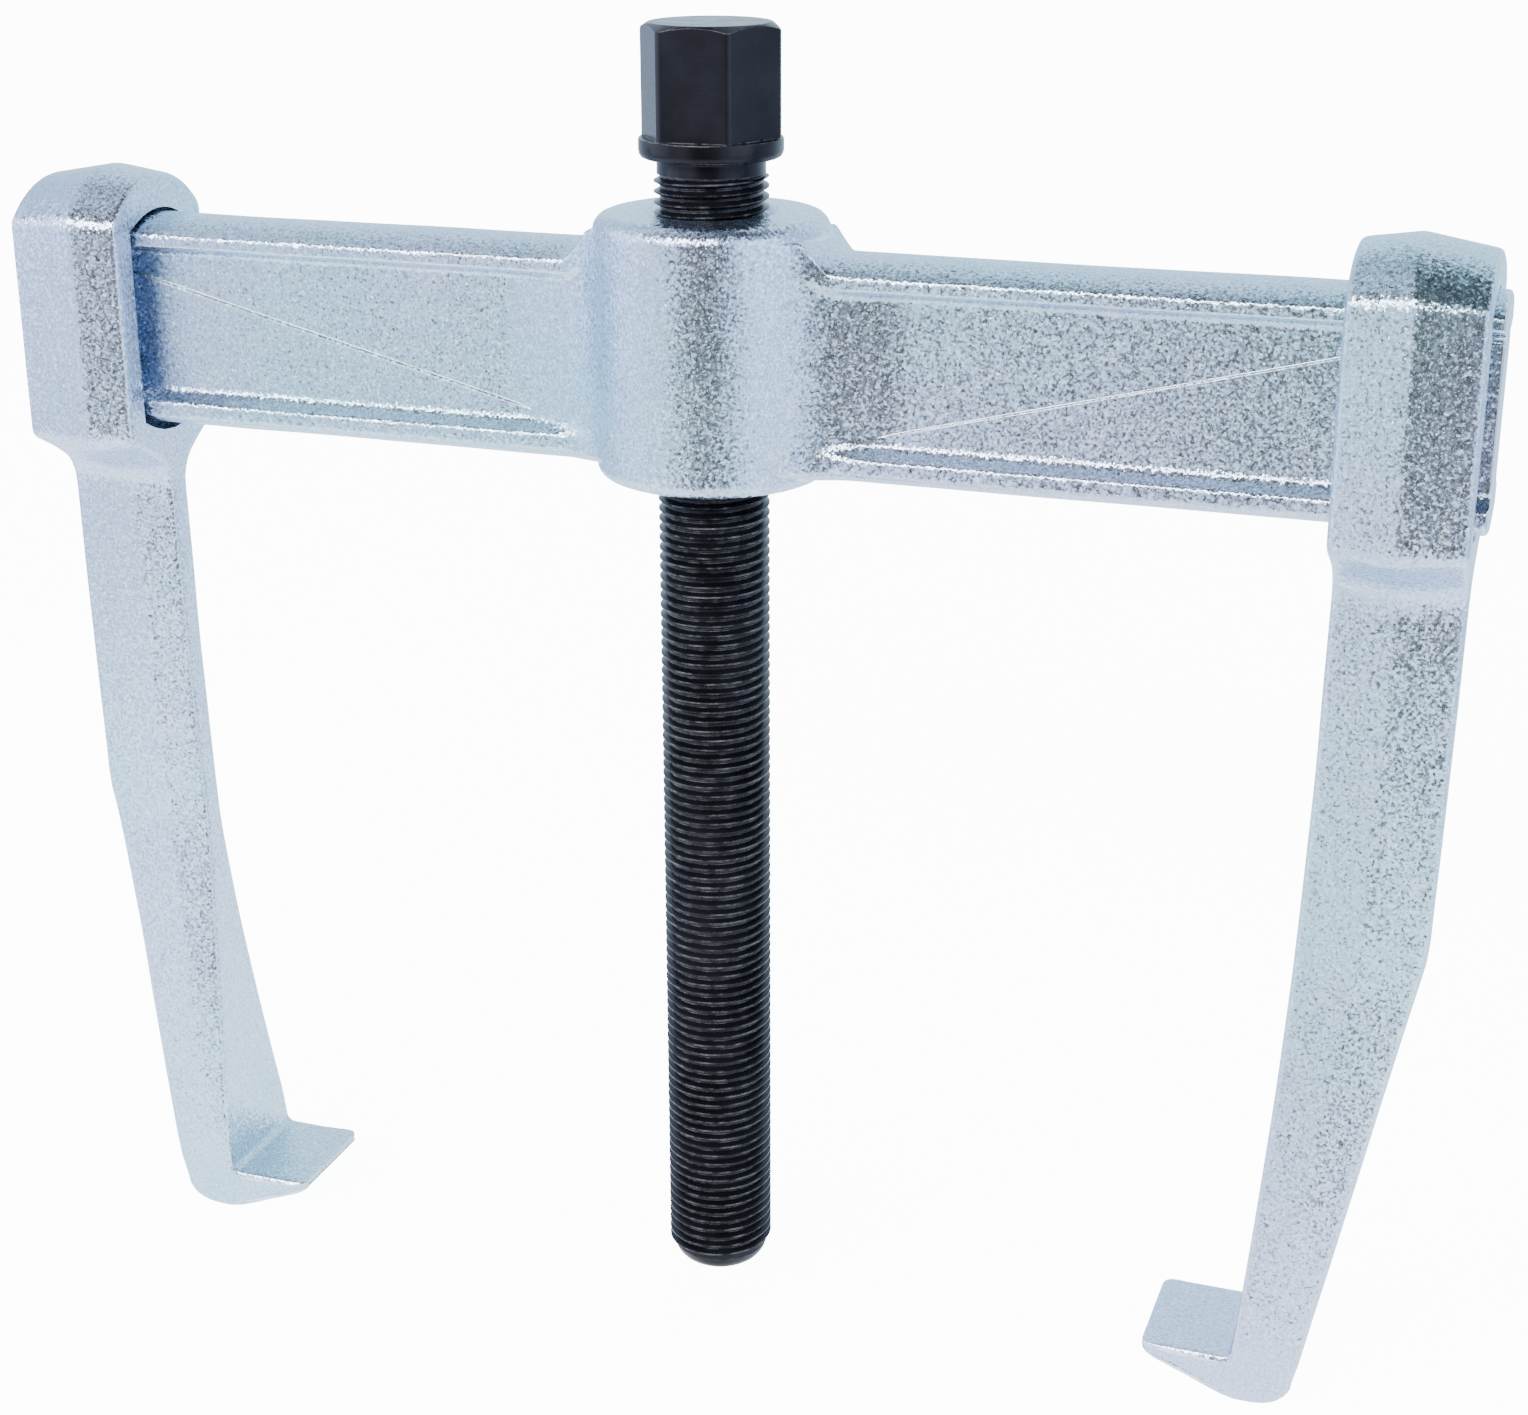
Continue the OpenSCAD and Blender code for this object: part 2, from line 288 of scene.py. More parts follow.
def boss():
    """The threaded boss: rounded rims, a flat top and a countersink at each end."""
    r_top, r_low = 3.6, 3.0
    sink = SINK_R - HOLE_R
    lip_in, lip_out, lip_drop = SINK_R - 0.3, SINK_R + 0.5, 0.35
    straight = BOSS_Z1 - BOSS_Z0 - r_low - r_top
    turns = [math.radians(a) for a in range(0, 91, 15)]
    profile = [(HOLE_R, BOSS_Z0 + sink), (lip_in, BOSS_Z0 + lip_drop), (lip_out, BOSS_Z0)]
    for turn in turns:
        profile.append((BOSS_R - r_low + r_low * math.sin(turn), BOSS_Z0 + r_low * (1 - math.cos(turn))))
    for share in (0.12, 0.24, 0.36, 0.5, 0.62, 0.74, 0.86):
        profile.append((BOSS_R, BOSS_Z0 + r_low + straight * share))
    for turn in turns:
        profile.append((BOSS_R - r_top + r_top * math.cos(turn), BOSS_Z1 - r_top + r_top * math.sin(turn)))
    profile += [(lip_out, BOSS_Z1), (lip_in, BOSS_Z1 - lip_drop), (HOLE_R, BOSS_Z1 - sink)]
    return turned(profile + profile[:1], 128)


def crossbeam():
    """The boss and its two arms; the skin is left even near the bore, where the spindle turns."""
    bm = boss()
    add_to(bm, beam_arm(), turned_half_round(beam_arm()))
    forged(bm, 0.35, 22, 13.5)
    return bm


# ---- Legs ------------------------------------------------------------------

HEAD_HALF = 16.7
WINDOW_HALF = 10.7
WINDOW_Z0 = BEAM_Z0 - 1.2
WINDOW_Z1 = BEAM_Z1 + 0.3
EDGE_R = 1.3
KINK_Z = 98.0
ARM_RISE = 1.1
HEAD_RISE = 2.0


def inner_x(z):
    """Inner side of the leg at height z."""
    return LEG_X0 - 7.4 * max(0.0, (BEAM_Z0 - z) / REACH) ** 2


def outer_x(z):
    """Outer side of the leg at height z: straight, then a slight slope, then in towards the hook."""
    if z > BEAM_Z0:
        return LEG_X1
    if z > KINK_Z:
        return LEG_X1 - 1.6 * (BEAM_Z0 - z) / (BEAM_Z0 - KINK_Z)
    return LEG_X1 - 1.6 - 17.9 * (KINK_Z - z) / (KINK_Z - 6)


def edge_half(z):
    """Half width of the arm at its edges: slim, then flaring to the width of the hook."""
    near = max(0.0, (92 - z) / 82)
    return 3 + (HOOK_HALF - 3) * min(1.0, 1.12 * near ** 1.25)


def station(inner, outer, half, tilt=0.0, rise=0.0, window=None):
    """One ring of a leg: inner and outer (x, z), half width, side tilt, ridge rise, window share."""
    return dict(inner=Vector(inner), outer=Vector(outer), half=half, tilt=math.radians(tilt),
                rise=rise, window=window)


def hook_stations():
    """From the tip of the hook, along its plate and round the heel."""
    rings = []
    for d in (0, 0.25, 0.7, 1.5, 3, 5, 8, 11, 14, 16.5):
        corner = 3 - math.sqrt(9 - max(0.0, 3 - d) ** 2)
        below = 7.8 * (1 - d / 21.6) ** 1.35
        lip = 0.45 * max(0.0, 1 - d / 0.7) ** 2
        inner, outer = (HOOK_X0 + d, HOOK_TOP - lip), (HOOK_X0 + d, below + lip)
        rings.append(station(inner, outer, HOOK_HALF - corner))
    for a in range(0, 91, 10):
        turn = math.radians(a)
        inner = (HOOK_X1 - 1.6 + 1.6 * math.sin(turn), HOOK_TOP + 1.6 * (1 - math.cos(turn)))
        heel = 0.55 * math.cos(turn) ** 8 + 6 * (1 - math.cos(turn) ** 0.9)
        outer = (HOOK_X1 + 1.4 + 11.2 * math.sin(turn) ** 0.9, heel)
        rings.append(station(inner, outer, HOOK_HALF))
    return rings


def arm_stations():
    """Up the arm from the heel to the neck under the head."""
    rings = []
    for i in range(1, 41):
        z = HOOK_TOP + 1.6 + i * (166 - HOOK_TOP - 1.6) / 40
        z_out = z - 5.6 * max(0.0, 1 - (z - 11.6) / 20)
        rise = ARM_RISE * smooth_step(z, 12, 60)
        rings.append(station((inner_x(z), z), (outer_x(z_out), z_out), edge_half(z), rise=rise))
    return rings


def head_stations():
    """The hollow neck, the sloping underside, the straight sides and the arched top of the head."""
    rings = []

    def add(z, half, tilt, rise, window):
        rings.append(station((inner_x(z), z), (outer_x(z), z), half, tilt, rise, window))

    for a in range(10, 61, 10):
        turn = math.radians(a)
        add(167 + 8.5 * math.sin(turn), 3 + 8.5 * (1 - math.cos(turn)), -a, ARM_RISE + 0.4 * a / 60, None)
    add(175.6, 9.0, -62, 1.6, 0.0)
    add(176.8, 11.0, -62, 1.6, 0.06)
    add(178.6, 14.2, -60, 1.8, 0.12)
    for share, tilt in ((0, -52), (0.5, -30), (1, -4)):
        corner = soft_corner((14.2, 178.6), (HEAD_HALF, 180.0), (HEAD_HALF, 184), 1.6, 2)[round(share * 2)]
        add(corner.y, corner.x, tilt, HEAD_RISE, 0.16 + 0.06 * share)
    for z, window in ((184, 0.25), (190, 0.32), (204, 0.5), (218, 0.68)):
        add(z, HEAD_HALF, 0, HEAD_RISE, window)
    edge_top = HEAD_TOP - HEAD_RISE
    corner_r, arch_r = 4.0, 20.7
    arch_z = edge_top - arch_r
    corner_y = HEAD_HALF - corner_r
    corner_z = arch_z + math.sqrt(HEAD_HALF ** 2 - corner_y ** 2)
    corner_tilt = math.degrees(math.acos(corner_y / HEAD_HALF))
    for i in range(5):
        tilt = corner_tilt * i / 4
        turn = math.radians(tilt)
        z, half = corner_z + corner_r * math.sin(turn), corner_y + corner_r * math.cos(turn)
        add(z, half, tilt, HEAD_RISE, 0.72 + 0.02 * i)
    for i in range(1, 11):
        tilt = corner_tilt + (90 - corner_tilt) * i / 10
        turn = math.radians(tilt)
        z, half = arch_z + arch_r * math.sin(turn), arch_r * math.cos(turn)
        add(z, half, tilt, HEAD_RISE, 0.80 + 0.02 * i)
    return rings


def window_point(share):
    """(half width, z) on the window's outline; share runs from mid sill to mid top."""
    if share <= 0.25:
        t = math.sin(math.radians(90 * share / 0.25))
        return WINDOW_HALF * t, WINDOW_Z0 + CROWN_DROP * 1.1 * t * t
    if share >= 0.75:
        t = math.sin(math.radians(90 * (1 - share) / 0.25))
        return WINDOW_HALF * t, WINDOW_Z1 - CROWN_DROP * 1.1 * t * t
    low, high = WINDOW_Z0 + CROWN_DROP * 1.1, WINDOW_Z1 - CROWN_DROP * 1.1
    return WINDOW_HALF, low + (high - low) * (share - 0.25) / 0.5


def across_depth(ridge, depth):
    """Places across the depth of a leg as (share, roundness, ridge share)."""
    round_r = min(EDGE_R, 0.3 * depth)
    edge = [round_r * reach / depth for reach in (0, 0.24, 0.58, 1.06)]
    places = edge + [0.15, ridge - 0.16, ridge - 0.05, ridge - 0.018, ridge, ridge + 0.018, ridge + 0.05,
                     ridge + 0.16, 0.85] + [1 - e for e in reversed(edge)]
    result = []
    for share in places:
        near = min(share, 1 - share) * depth
        inside = max(0.0, round_r - near)
        roundness = round_r - math.sqrt(round_r ** 2 - inside ** 2)
        slope = share / ridge if share < ridge else (1 - share) / (1 - ridge)
        peak = max(0.0, 0.04 - abs(share - ridge)) / 0.04
        result.append((share, roundness, slope - 0.03 * peak * peak))
    return result


def leg_ring(s):
    """The points of one ring: window edge, front side, window edge, back side."""
    pierced = s["window"] is not None
    window_y, window_z = window_point(s["window"]) if pierced else (0.0, 0.0)
    top = math.sin(max(0.0, s["tilt"])) ** 2
    ring = []
    for sign, ridge in ((-1, 0.5), (1, 0.38)):
        ridge += (0.44 - ridge) * top
        side = []
        for share, roundness, slope in across_depth(ridge, (s["outer"] - s["inner"]).length):
            out = s["rise"] * slope - roundness - 0.9 * share * top
            spot = s["inner"].lerp(s["outer"], share)
            half = max(0.0, s["half"] + out * math.cos(s["tilt"]))
            side.append((spot.x, sign * half, spot.y + out * math.sin(s["tilt"])))
        if pierced:
            ends = [(s["inner"].x, sign * window_y, window_z), (s["outer"].x, sign * window_y, window_z)]
        else:
            ends = [(s["inner"].x, 0, s["inner"].y), (s["outer"].x, 0, s["outer"].y)]
        side = [ends[0]] + side + [ends[1]]
        ring += side if sign < 0 else side[::-1]
    return ring


def leg():
    """A hooked leg whose head is pierced by the window for the beam."""
    rings = [leg_ring(s) for s in hook_stations() + arm_stations() + head_stations()]
    bm = loft(rings)
    top = max(bm.faces, key=lambda f: f.calc_center_median().z if len(f.verts) > 4 else -1)
    middle = [f for f in bm.faces if len(f.verts) == 4 and abs(f.calc_center_median().y) < 1e-7]
    bmesh.ops.delete(bm, geom=middle + [top], context="FACES_ONLY")
    bmesh.ops.delete(bm, geom=[e for e in bm.edges if e.is_wire], context="EDGES")
    bmesh.ops.remove_doubles(bm, verts=bm.verts, dist=2e-6)
    rim = [e for e in bm.edges if e.is_boundary]
    tunnel = bmesh.ops.bridge_loops(bm, edges=rim)["faces"]
    bmesh.ops.recalc_face_normals(bm, faces=bm.faces)
    rim = [e for e in bm.edges if len([f for f in e.link_faces if f in tunnel]) == 1]
    bmesh.ops.bevel(bm, geom=rim, offset=0.7 * MM, segments=2, profile=0.5, affect="EDGES", material=-1)
    forged(bm, 0.3, 20)
    set_down(bm)
    return bm


# ---- Spindle ---------------------------------------------------------------

THREAD_DEPTH = 1.15
CREST_ROUNDING = 0.07
TIP_FLAT_R = 5.4
TIP_EDGE = 0.9
DOME = 4.6
NECK = 3.0
NECK_R = 10.4
SEAT_R = BALL_R + CLEARANCE
BALL_Z = 1.95 + BALL_R


def spindle_core():
    """Everything turned: the domed tip with the ball's seat, the core, the neck and the collar."""
    root = THREAD_R - THREAD_DEPTH - 0.1
    mouth = math.sqrt(SEAT_R ** 2 - CLEARANCE ** 2)
    profile = [(0, BALL_Z + SEAT_R)]
    for a in range(12, 91, 13):
        turn = math.radians(a)
        profile.append((SEAT_R * math.sin(turn), BALL_Z + SEAT_R * math.cos(turn)))
    profile += [(mouth - 0.25, TIP_Z + 0.15), (mouth - 0.1, TIP_Z), (TIP_FLAT_R, TIP_Z)]
    for i in range(1, 8):
        turn = math.radians(90 * i / 8)
        radius = TIP_FLAT_R + (THREAD_R - TIP_EDGE - TIP_FLAT_R) * math.sin(turn)
        profile.append((radius, TIP_Z + DOME * (1 - math.cos(turn))))
    profile += [(root, TIP_Z + DOME), (root, COLLAR_Z0 - NECK - 0.2), (NECK_R, COLLAR_Z0 - NECK)]
    profile += [(NECK_R, COLLAR_Z0 - 0.7), (10.6, COLLAR_Z0 - 0.2), (11.1, COLLAR_Z0)]
    for inset, height in ((1.0, 0), (0.45, 0.25), (0.12, 0.8), (0, 1.4)):
        profile.append((COLLAR_R - inset, COLLAR_Z0 + height))
    for inset, drop in ((0, 0.5), (0.15, 0.15), (0.5, 0)):
        profile.append((COLLAR_R - inset, COLLAR_Z1 - drop))
    return turned(profile + [(0, COLLAR_Z1)], 96)


def spindle_thread():
    """The right-hand thread: one turn of a toothed line, spun and raised by one pitch."""
    crest, flank, root = 0.11, 0.17, 0.78
    tooth = [(-root, THREAD_DEPTH), (-flank, CREST_ROUNDING), (-crest, 0)]
    tooth += [(-offset, drop) for offset, drop in reversed(tooth)]
    start, stop = TIP_Z + DOME - 1.6, COLLAR_Z0 - NECK + 0.6
    turns = int((stop - start) / PITCH)
    bm = bmesh.new()
    line = []
    for turn in range(turns):
        base = start + PITCH * (turn + 0.5)
        for offset, drop in tooth:
            line.append(bm.verts.new(((THREAD_R - drop) * MM, 0, (base + offset) * MM)))
    edges = [bm.edges.new(pair) for pair in zip(line[:-1], line[1:])]
    steps = 60
    bmesh.ops.spin(bm, geom=line + edges, axis=(0, 0, 1), cent=(0, 0, 0), angle=2 * math.pi,
                   steps=steps, dvec=(0, 0, PITCH * MM / steps), use_merge=False)
    bmesh.ops.remove_doubles(bm, verts=bm.verts, dist=2e-6)
    for vert in bm.verts:
        radius = math.hypot(vert.co.x, vert.co.y)
        z = vert.co.z / MM
        tip = THREAD_R - 0.9 * max(0.0, TIP_Z + DOME + 0.6 - z) ** 1.4
        end = 10.3 if z > COLLAR_Z0 - NECK - 0.5 else THREAD_R
        keep = min(radius, tip * MM, end * MM)
        vert.co.x *= keep / radius
        vert.co.y *= keep / radius
    bmesh.ops.holes_fill(bm, edges=[e for e in bm.edges if e.is_boundary], sides=0)
    bmesh.ops.recalc_face_normals(bm, faces=bm.faces)
    return bm


def hex_head():
    """The hexagon head, with its corners turned down and its top chamfered at 30 degrees."""
    half_flat = math.degrees(math.acos(HEX_AF / 2 / HEX_CORNER_R))
    angles = []
    for flat in range(6):
        angles += [60 * flat + half_flat * t for t in (-1, -0.97, -0.7, -0.35, 0, 0.35, 0.7, 0.97, 1)]
        angles += [60 * flat + 30]
    face_r = HEX_AF / 2 - 0.4
    radii = [HEX_AF / 2 / math.cos(math.radians((a + 30) % 60 - 30)) for a in angles]
    radii = [min(r, HEX_CORNER_R) for r in radii]

    def ring(rs, zs):
        return [(r * math.cos(math.radians(a) + HEX_TURN), r * math.sin(math.radians(a) + HEX_TURN), z)
                for a, r, z in zip(angles, rs, zs)]

    count = len(angles)
    fall = [HEX_TOP - (r - face_r) * math.tan(math.radians(30)) for r in radii]
    rings = [
        ring(radii, [COLLAR_Z1 - 0.6] * count),
        ring(radii, [f - 0.25 for f in fall]),
        ring([r - 0.12 for r in radii], [f + 0.02 for f in fall]),
        ring([face_r + 0.1] * count, [HEX_TOP - 0.06] * count),
        ring([face_r - 0.25] * count, [HEX_TOP] * count),
        ring([face_r - 3] * count, [HEX_TOP] * count),
    ]
    return loft(rings)


def spindle():
    bm = spindle_core()
    add_to(bm, spindle_thread(), hex_head())
    return bm


def thrust_ball():
    bm = bmesh.new()
    bmesh.ops.create_uvsphere(bm, u_segments=64, v_segments=32, radius=BALL_R * MM)
    bmesh.ops.translate(bm, verts=bm.verts, vec=(0, 0, BALL_Z * MM))
    return bm


# ---- Materials -------------------------------------------------------------

# How far the studio's open front lies round from -Y
GAP_TURN = math.radians(11)
WHITE = (1.0, 1.0, 1.0)


class Nodes:
    """A small helper that adds and links the shader nodes of one material or world."""

    def __init__(self, owner, shader, place):
        owner.use_nodes = True
        self.material = owner
        self.tree = owner.node_tree
        self.shader = self.tree.nodes[shader]
        self.place = self.add("ShaderNodeTexCoord").outputs[place]

    def add(self, kind, **settings):
        node = self.tree.nodes.new(kind)
        for key, value in settings.items():
            setattr(node, key, value)
        return node

    def link(self, source, target):
        self.tree.links.new(source, target)

    def noise(self, scale, detail=2.0, rough=0.5, stretch=(1, 1, 1)):
        """Noise over the object; scale is in grains per metre."""
        mapping = self.add("ShaderNodeMapping")
        mapping.inputs["Scale"].default_value = stretch
        self.link(self.place, mapping.inputs["Vector"])
        noise = self.add("ShaderNodeTexNoise")
        noise.inputs["Scale"].default_value = scale
        noise.inputs["Detail"].default_value = detail
        noise.inputs["Roughness"].default_value = rough
        self.link(mapping.outputs["Vector"], noise.inputs["Vector"])
        return noise.outputs["Fac"]

    def remap(self, value, low, high, to_low=0.0, to_high=1.0):
        node = self.add("ShaderNodeMapRange")
        node.inputs["From Min"].default_value = low
        node.inputs["From Max"].default_value = high
        node.inputs["To Min"].default_value = to_low
        node.inputs["To Max"].default_value = to_high
        self.link(value, node.inputs["Value"])
        return node.outputs["Result"]

    def math(self, operation, a, b):
        node = self.add("ShaderNodeMath", operation=operation)
        for socket, value in zip(node.inputs, (a, b)):
            if isinstance(value, (int, float)):
                socket.default_value = value
            else:
                self.link(value, socket)
        return node.outputs["Value"]

    def mix(self, factor, a, b):
        """Colour mix; a and b are colours or sockets."""
        node = self.add("ShaderNodeMix", data_type="RGBA")
        self.link(factor, node.inputs["Factor"])
        for socket, value in ((node.inputs[6], a), (node.inputs[7], b)):
            if isinstance(value, tuple):
                socket.default_value = (*value, 1)
            else:
                self.link(value, socket)
        return node.outputs[2]

    def edges(self, radius):
        """1 on convex and concave edges, 0 on flat ground."""
        soft = self.add("ShaderNodeBevel", samples=4)
        soft.inputs["Radius"].default_value = radius
        plain = self.add("ShaderNodeNewGeometry")
        dot = self.add("ShaderNodeVectorMath", operation="DOT_PRODUCT")
        self.link(soft.outputs["Normal"], dot.inputs[0])
        self.link(plain.outputs["Normal"], dot.inputs[1])
        return self.remap(dot.outputs["Value"], 0.995, 0.93)

    def bump(self, height, strength, distance, normal=None):
        node = self.add("ShaderNodeBump")
        node.inputs["Strength"].default_value = strength
        node.inputs["Distance"].default_value = distance
        self.link(height, node.inputs["Height"])
        if normal:
            self.link(normal, node.inputs["Normal"])
        return node.outputs["Normal"]

    def scatter(self, scale, tilt, normal):
        """The normal tipped at random from grain to grain; tilt is a socket with how far."""
        mapping = self.add("ShaderNodeVectorMath", operation="SCALE")
        self.link(self.place, mapping.inputs[0])
        mapping.inputs["Scale"].default_value = scale
        noise = self.add("ShaderNodeTexNoise")
        noise.inputs["Scale"].default_value = 1.0
        noise.inputs["Detail"].default_value = 2.0
        noise.inputs["Roughness"].default_value = 0.6
        self.link(mapping.outputs["Vector"], noise.inputs["Vector"])
        centred = self.add("ShaderNodeVectorMath", operation="SUBTRACT")
        self.link(noise.outputs["Color"], centred.inputs[0])
        centred.inputs[1].default_value = (0.5, 0.5, 0.5)
        sized = self.add("ShaderNodeVectorMath", operation="SCALE")
        self.link(centred.outputs["Vector"], sized.inputs[0])
        self.link(tilt, sized.inputs["Scale"])
        tipped = self.add("ShaderNodeVectorMath", operation="ADD")
        self.link(normal, tipped.inputs[0])
        self.link(sized.outputs["Vector"], tipped.inputs[1])
        unit = self.add("ShaderNodeVectorMath", operation="NORMALIZE")
        self.link(tipped.outputs["Vector"], unit.inputs[0])
        return unit.outputs["Vector"]

    def set(self, name, value):
        socket = self.shader.inputs[name]
        if isinstance(value, (int, float)):
            socket.default_value = value
        else:
            self.link(value, socket)

    def front_gap(self, near, far):
        """1 within near degrees of the studio's open front, falling to 0 at far degrees."""
        parts = self.add("ShaderNodeSeparateXYZ")
        flat = self.add("ShaderNodeCombineXYZ")
        self.link(self.place, parts.inputs["Vector"])
        self.link(parts.outputs["X"], flat.inputs["X"])
        self.link(parts.outputs["Y"], flat.inputs["Y"])
        heading = self.add("ShaderNodeVectorMath", operation="NORMALIZE")
        self.link(flat.outputs["Vector"], heading.inputs[0])
        towards = self.add("ShaderNodeVectorMath", operation="DOT_PRODUCT")
        self.link(heading.outputs["Vector"], towards.inputs[0])
        towards.inputs[1].default_value = (math.sin(GAP_TURN), -math.cos(GAP_TURN), 0)
        limits = [math.cos(math.radians(angle)) for angle in (far, near)]
        return self.remap(towards.outputs["Value"], *limits)

    def seen_directly(self):
        """1 for what the camera sees itself, 0 for what lights the object."""
        return self.add("ShaderNodeLightPath").outputs["Is Camera Ray"]


def piece_material(name):
    return Nodes(bpy.data.materials.new(name), "Principled BSDF", "Object")


def zinc_plate(name, pale, cool, lilac):
    """Blue zinc on blasted forged steel: fine grain, patches of tint, and edges painted paler, partly as
    wear and partly as a painted highlight.
    """
    m = piece_material(name)
    patches = m.remap(m.noise(38, 3, 0.6), 0.38, 0.62)
    drift = m.remap(m.noise(14, 2), 0.42, 0.66)
    colour = m.mix(patches, pale, cool)
    colour = m.mix(drift, colour, lilac)
    grain = m.noise(1600, 2.5, 0.6)
    coarse = m.noise(900, 2, 0.5)
    colour = m.mix(m.remap(grain, 0.50, 0.34, 0, 0.5), colour, (0.34, 0.37, 0.41))
    colour = m.mix(m.remap(grain, 0.55, 0.68, 0, 0.8), colour, (0.92, 0.94, 0.97))
    edge = m.edges(0.0008)
    # Convex and concave edges are painted pale (0.95, 0.97, 0.99): partly edge wear, partly a painted
    # highlight that whitens the edge glints.
    wear_and_sheen = m.math("MULTIPLY", edge, m.remap(m.noise(300, 3, 0.7), 0.30, 0.55))
    colour = m.mix(wear_and_sheen, colour, (0.95, 0.97, 0.99))
    m.set("Base Color", colour)
    m.set("Metallic", 1.0)
    rough = m.remap(coarse, 0.3, 0.7, 0.20, 0.32)
    m.set("Roughness", m.math("SUBTRACT", rough, m.math("MULTIPLY", wear_and_sheen, 0.06)))
    waves = m.bump(m.noise(70, 2), 0.35, 0.0004)
    blast = m.bump(coarse, 0.30, 0.00012, waves)
    m.set("Normal", m.scatter(1500, m.remap(edge, 0, 1, 1.15, 0.12), blast))
    return m.material


def black_oxide():
    """Black oxide on turned steel: satin, with turning marks and pale crests, partly worn bare and partly
    painted glints.
    """
    m = piece_material("black oxide")
    streaks = m.noise(260, 3, 0.6, stretch=(1, 1, 14))
    smudge = m.remap(m.noise(60, 3, 0.6), 0.4, 0.7)
    colour = m.mix(smudge, (0.004, 0.004, 0.005), (0.012, 0.012, 0.015))
    grain = m.noise(2600, 2, 0.6)
    # The thread's crests and roots are painted pale (0.45, 0.45, 0.48): partly wear, partly painted
    # glints.
    wear_and_sheen = m.math("MULTIPLY", m.edges(0.0003), m.remap(m.noise(300, 3, 0.6), 0.44, 0.72))
    colour = m.mix(m.math("MULTIPLY", wear_and_sheen, 0.5), colour, (0.45, 0.45, 0.48))
    m.set("Base Color", colour)
    m.set("Metallic", 0.0)
    m.set("Specular IOR Level", 0.2)
    m.shader.inputs["Specular Tint"].default_value = (1.0, 0.90, 1.0, 1)
    m.set("Roughness", m.remap(streaks, 0.3, 0.7, 0.18, 0.28))
    turning = m.bump(streaks, 0.10, 0.00003)
    m.set("Normal", m.bump(grain, 0.15, 0.00002, turning))
    return m.material


def bright_steel():
    """Polished ball steel with faint scuffs."""
    m = piece_material("bright ball steel")
    scuffs = m.noise(900, 4, 0.7, stretch=(1, 1, 3))
    tone = m.remap(m.noise(240, 2), 0.4, 0.6)
    m.set("Base Color", m.mix(tone, (0.58, 0.59, 0.61), (0.66, 0.67, 0.68)))
    m.set("Metallic", 1.0)
    m.set("Roughness", m.remap(scuffs, 0.35, 0.7, 0.10, 0.30))
    m.set("Normal", m.bump(scuffs, 0.12, 0.00002))
    return m.material


# ---- Studio ----------------------------------------------------------------

def floor():
    """A pale floor, white to the camera; in reflections it is darker in front and fades far out."""
    bm = bmesh.new()
    bmesh.ops.create_grid(bm, x_segments=1, y_segments=1, size=6)
    mesh = bpy.data.meshes.new("floor")
    bm.to_mesh(mesh)
    bm.free()
    ground = bpy.data.objects.new("floor", mesh)
    bpy.context.scene.collection.objects.link(ground)
    m = piece_material("pale floor")
    m.set("Base Color", m.mix(m.remap(m.noise(3, 2), 0.3, 0.7), (0.88, 0.89, 0.90), (0.92, 0.92, 0.92)))
    m.set("Roughness", 0.9)
    m.set("Specular IOR Level", 0.1)
    glow = m.mix(m.front_gap(9, 38), (0.80, 0.92, 1.0), (0.28, 0.28, 0.28))
    m.set("Emission Color", m.mix(m.seen_directly(), glow, WHITE))
    m.set("Emission Strength", m.remap(m.seen_directly(), 0, 1, 1.1, 12.0))
    distance = m.add("ShaderNodeVectorMath", operation="LENGTH")
    m.link(m.place, distance.inputs[0])
    unseen = m.math("SUBTRACT", 1.0, m.seen_directly())
    faded = m.math("MULTIPLY", unseen, m.remap(distance.outputs["Value"], 0.38, 0.60))
    m.set("Alpha", m.math("SUBTRACT", 1.0, faded))
    mesh.materials.append(m.material)


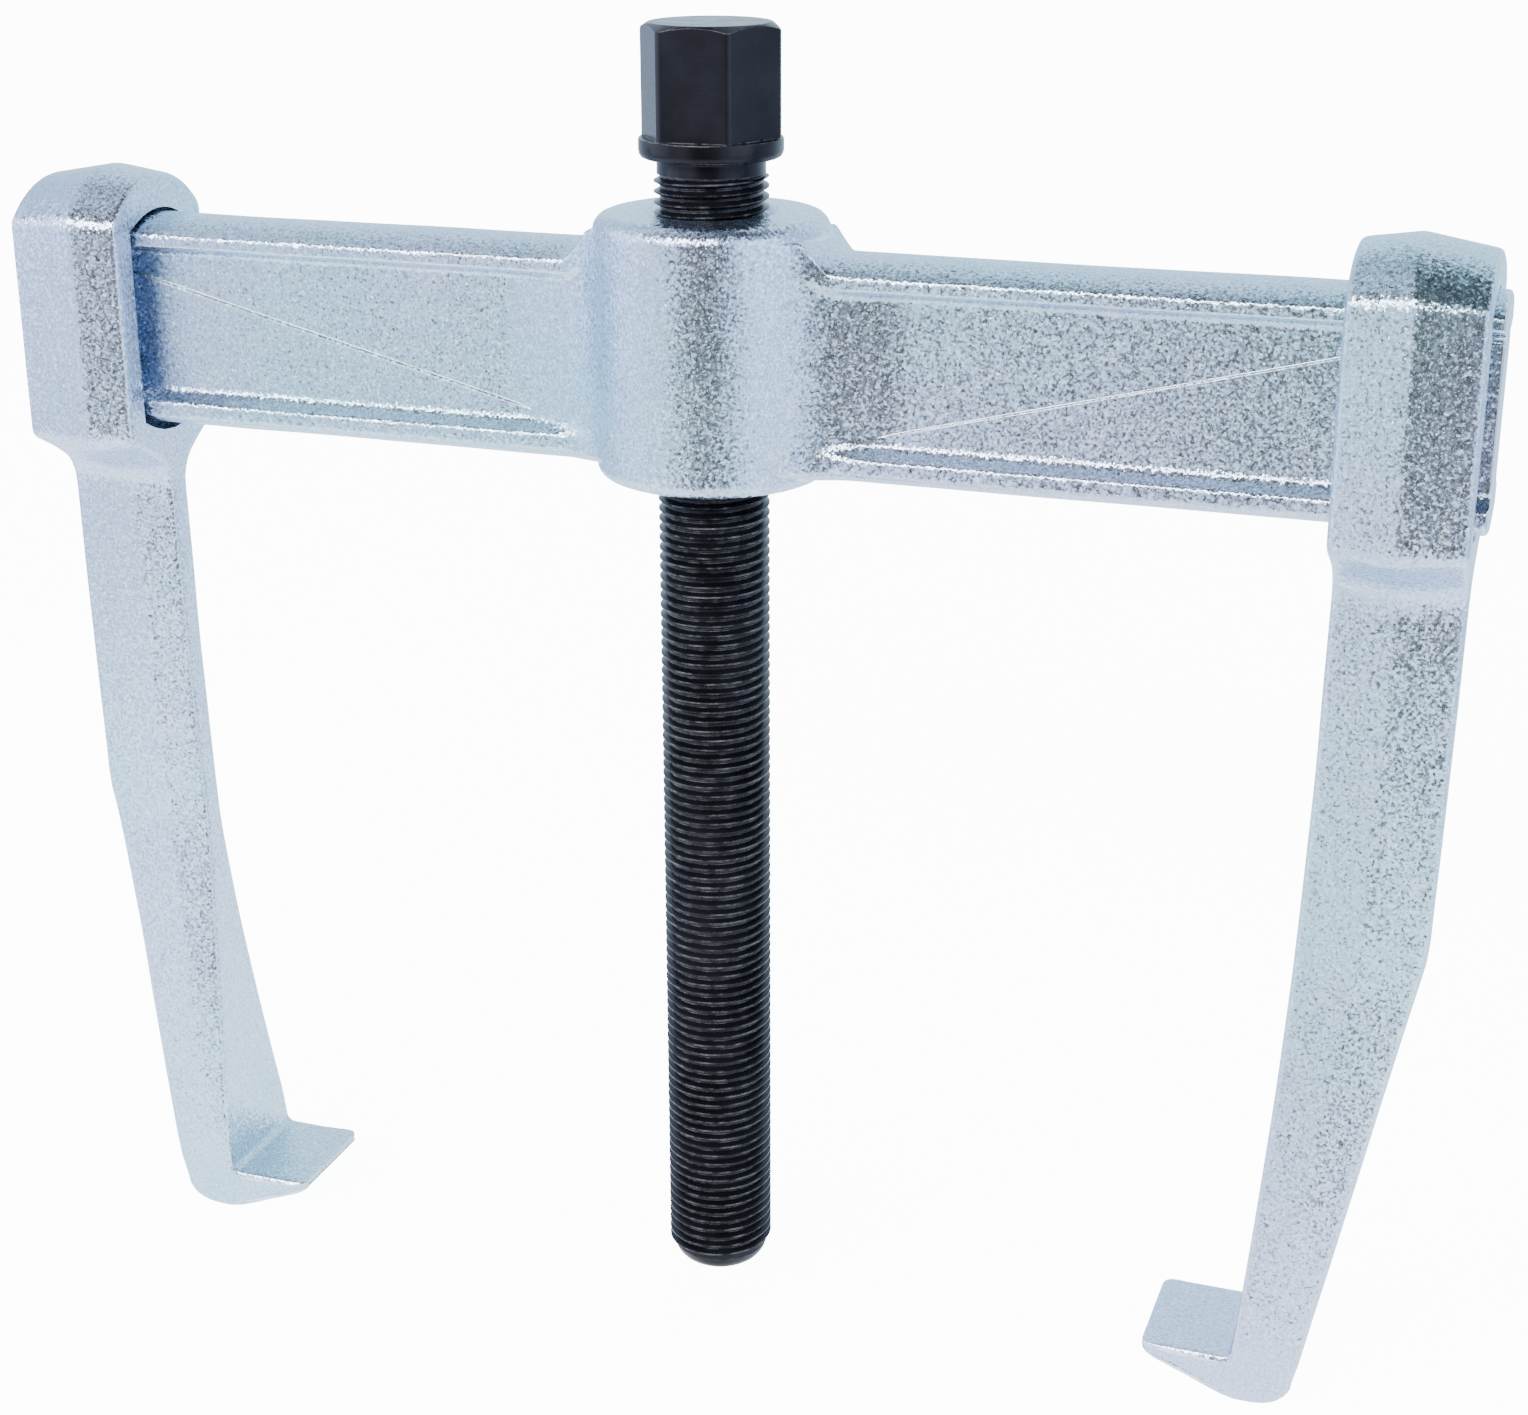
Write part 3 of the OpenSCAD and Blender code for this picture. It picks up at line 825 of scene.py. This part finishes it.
def studio_light():
    """A bright room with a dark front gap, a dark ceiling and bluer sides, and three soft lights."""
    world = bpy.data.worlds.new("studio")
    bpy.context.scene.world = world
    m = Nodes(world, "Background", "Generated")
    parts = m.add("ShaderNodeSeparateXYZ")
    m.link(m.place, parts.inputs["Vector"])
    gap = m.math("MULTIPLY", m.front_gap(17, 32), m.remap(parts.outputs["Z"], 0.45, 0.25))
    slant = m.math("ADD", parts.outputs["X"], m.math("MULTIPLY", parts.outputs["Y"], 1.2))
    overhead = m.math("MAXIMUM", m.remap(slant, -0.28, -0.16), m.remap(parts.outputs["Y"], -0.17, -0.25))
    overhead = m.math("MULTIPLY", overhead, m.remap(parts.outputs["Y"], 0.65, 0.15))
    ceiling = m.math("MULTIPLY", m.remap(parts.outputs["Z"], 0.60, 0.72), overhead)
    backdrop = m.remap(parts.outputs["Y"], 0.1, 0.7)
    room = m.mix(backdrop, (0.60, 0.74, 0.90), (0.60, 0.80, 0.97))
    sides = m.remap(m.math("ABSOLUTE", parts.outputs["X"], 0), 0.5, 0.75)
    room = m.mix(sides, room, (0.43, 0.54, 0.76))
    room = m.mix(ceiling, room, (0.03, 0.03, 0.03))
    room = m.mix(gap, room, (0.05, 0.04, 0.035))
    m.set("Color", m.mix(m.seen_directly(), room, WHITE))
    m.set("Strength", m.remap(m.seen_directly(), 0, 1, 2.2, 13.0))
    for name, place, size, power, colour in (
        ("left wall", (-1.3, -0.35, 0.45), (1.3, 1.1), 7, (0.78, 0.82, 1.0)),
        ("softbox over the camera", (-0.32, -1.15, 0.92), (1.4, 0.24), 24, (1.0, 0.98, 0.95)),
        ("right wall", (1.3, -0.5, 0.45), (1.0, 1.0), 5, (0.76, 0.93, 1.0)),
    ):
        light = bpy.data.lights.new(name, "AREA")
        light.shape = "RECTANGLE"
        light.size, light.size_y = size
        light.energy = power
        light.color = colour
        lamp = bpy.data.objects.new(name, light)
        bpy.context.scene.collection.objects.link(lamp)
        lamp.location = place
        lamp.rotation_euler = (Vector((0, 0, 0.15)) - lamp.location).to_track_quat("-Z", "Y").to_euler()


def camera():
    data = bpy.data.cameras.new("camera")
    data.lens = 61.194
    data.sensor_width = 36
    data.clip_start = 0.01
    holder = bpy.data.objects.new("camera", data)
    bpy.context.scene.collection.objects.link(holder)
    turn, lift, roll = (math.radians(angle) for angle in (19.289, 19.916, -0.134))
    away = Vector((math.sin(turn) * math.cos(lift), -math.cos(turn) * math.cos(lift), math.sin(lift)))
    right = Vector((math.cos(turn), math.sin(turn), 0))
    up = away.cross(right)
    across = math.cos(roll) * right + math.sin(roll) * up
    upward = -math.sin(roll) * right + math.cos(roll) * up
    pose = Matrix((across, upward, away)).transposed().to_4x4()
    pose.translation = Vector((0.17307, -0.46511, 0.31096))
    holder.matrix_world = pose
    bpy.context.scene.camera = holder


beam_zinc = zinc_plate("zinc on the beam", (0.52, 0.70, 0.83), (0.44, 0.71, 0.80), (0.60, 0.66, 0.87))
leg_zinc = zinc_plate("zinc on the legs", (0.54, 0.71, 0.84), (0.47, 0.72, 0.81), (0.62, 0.67, 0.88))
make_piece("crossbeam_forging", crossbeam(), beam_zinc, "beam", "crossbeam")
make_piece("left_leg_forging", turned_half_round(leg()), leg_zinc, "left_leg", "left_leg")
make_piece("right_leg_forging", leg(), leg_zinc, "right_leg", "right_leg")
make_piece("threaded_spindle", spindle(), black_oxide(), "screw", "spindle")
make_piece("steel_ball", thrust_ball(), bright_steel(), "screw_feed", "thrust_ball")
floor()
studio_light()
camera()
